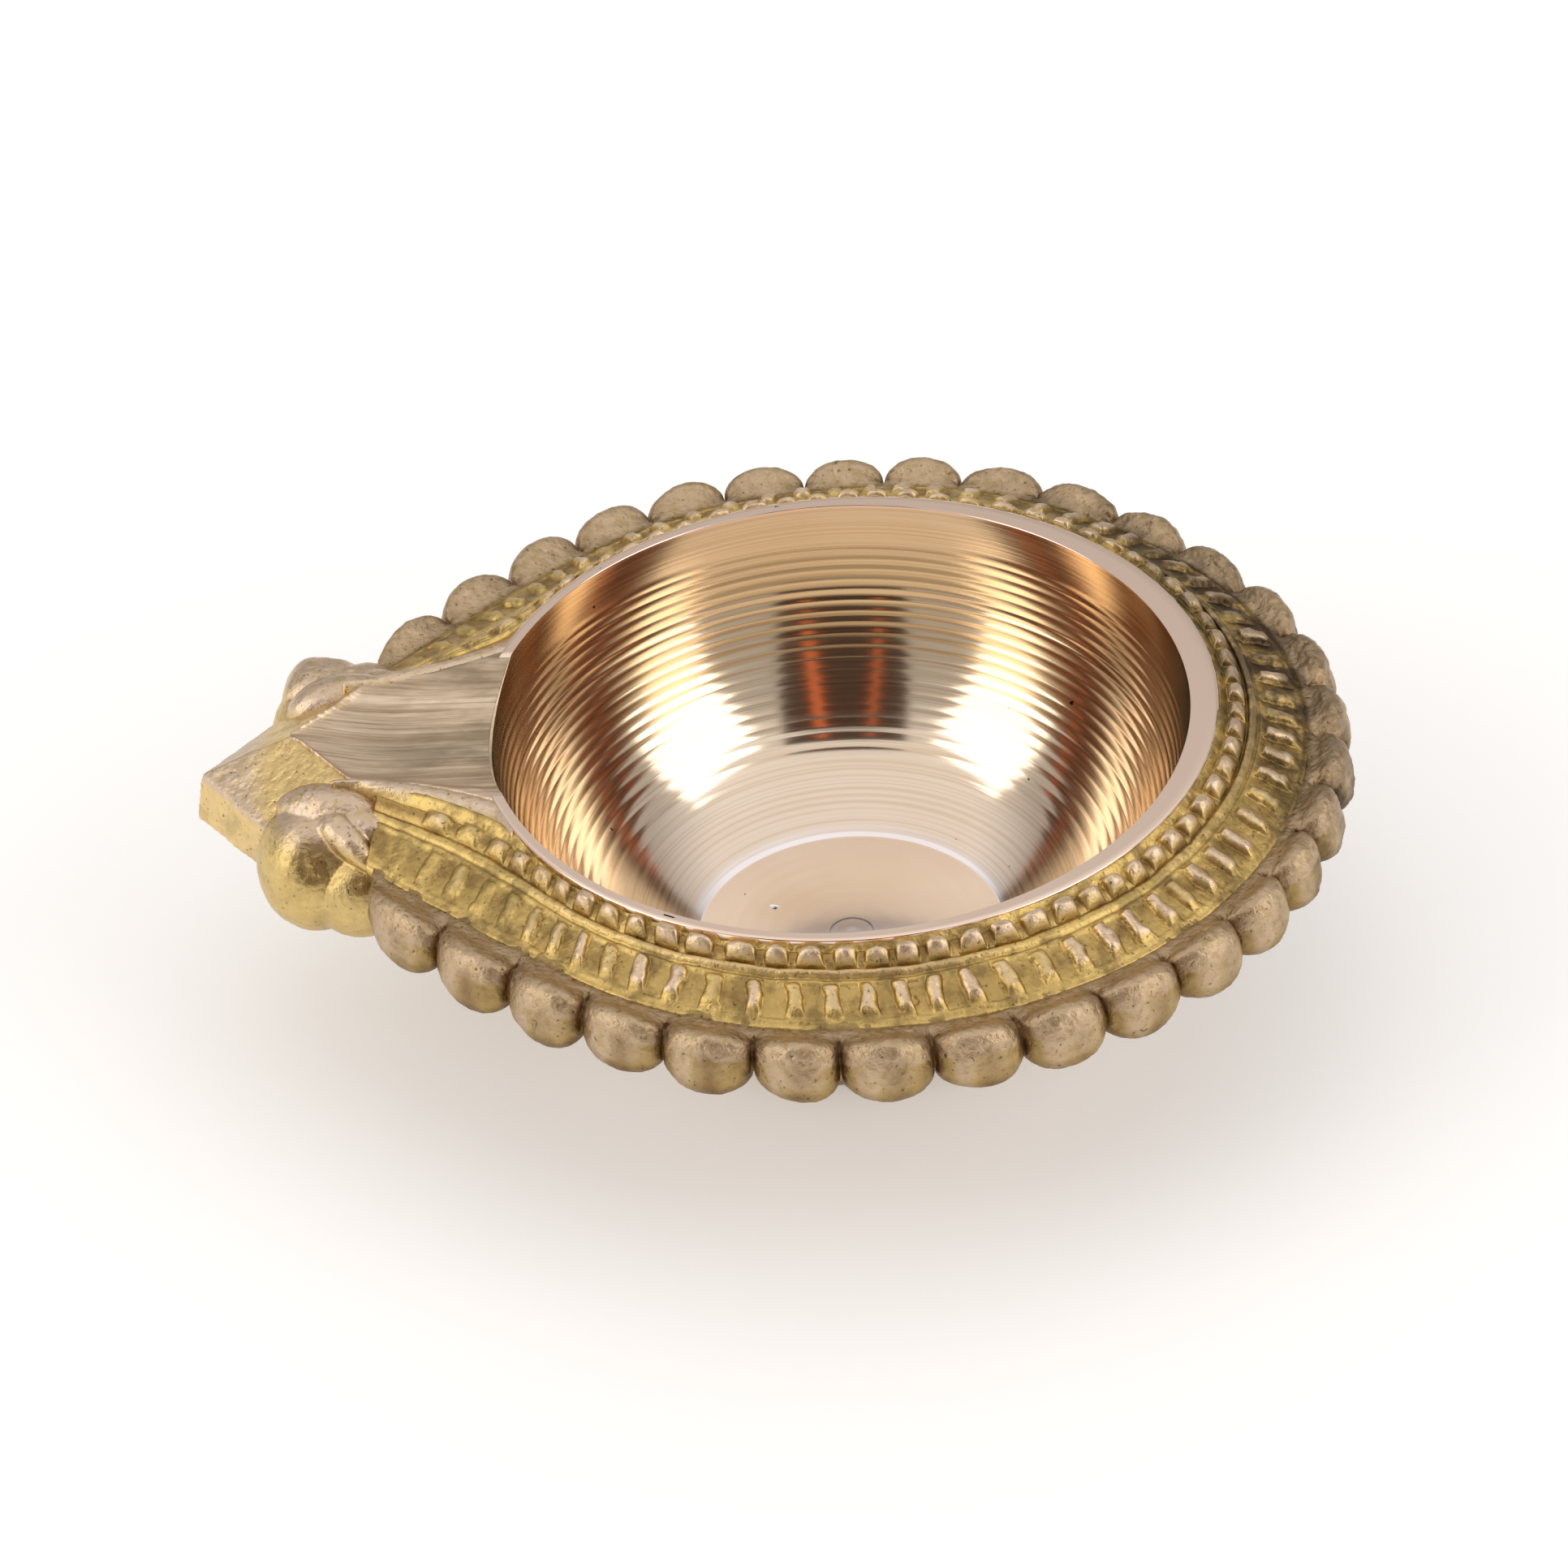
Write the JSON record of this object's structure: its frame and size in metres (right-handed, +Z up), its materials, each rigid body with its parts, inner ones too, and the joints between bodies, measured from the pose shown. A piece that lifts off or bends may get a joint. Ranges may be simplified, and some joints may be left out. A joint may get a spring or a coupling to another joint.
{
  "type": "diya oil lamp",
  "caption": "Small cast-brass oil lamp: a turned round bowl on a low foot, with a beaded and scalloped collar and a wick spout between two bird heads.",
  "frame": {"origin": "centre of the foot's flat resting face, on the bowl's axis", "axes": "+Z up along the bowl's axis, wick spout towards -X, mirror-symmetric about the XZ plane"},
  "size_m": [0.1, 0.0852, 0.0286],
  "materials": {
    "polished_brass": "lathe-turned and polished, fine rings left on the upper wall",
    "cast_brass": "sand-cast, yellow, with grey-brown tarnish and small pits",
    "brushed_brass": "filed lengthwise",
    "dull_brass": "as cast"
  },
  "bodies": {
    "root": {"bowl": "polished_brass", "foot": "dull_brass", "collar": "cast_brass", "bead_row": "cast_brass", "ridge_row": "cast_brass", "rib_row": "cast_brass", "lobe_rim": "cast_brass", "wick_channel": "brushed_brass", "neck_left": "cast_brass", "neck_right": "cast_brass", "head_left": "cast_brass", "head_right": "cast_brass", "nose": "cast_brass"}
  },
  "joints": []
}
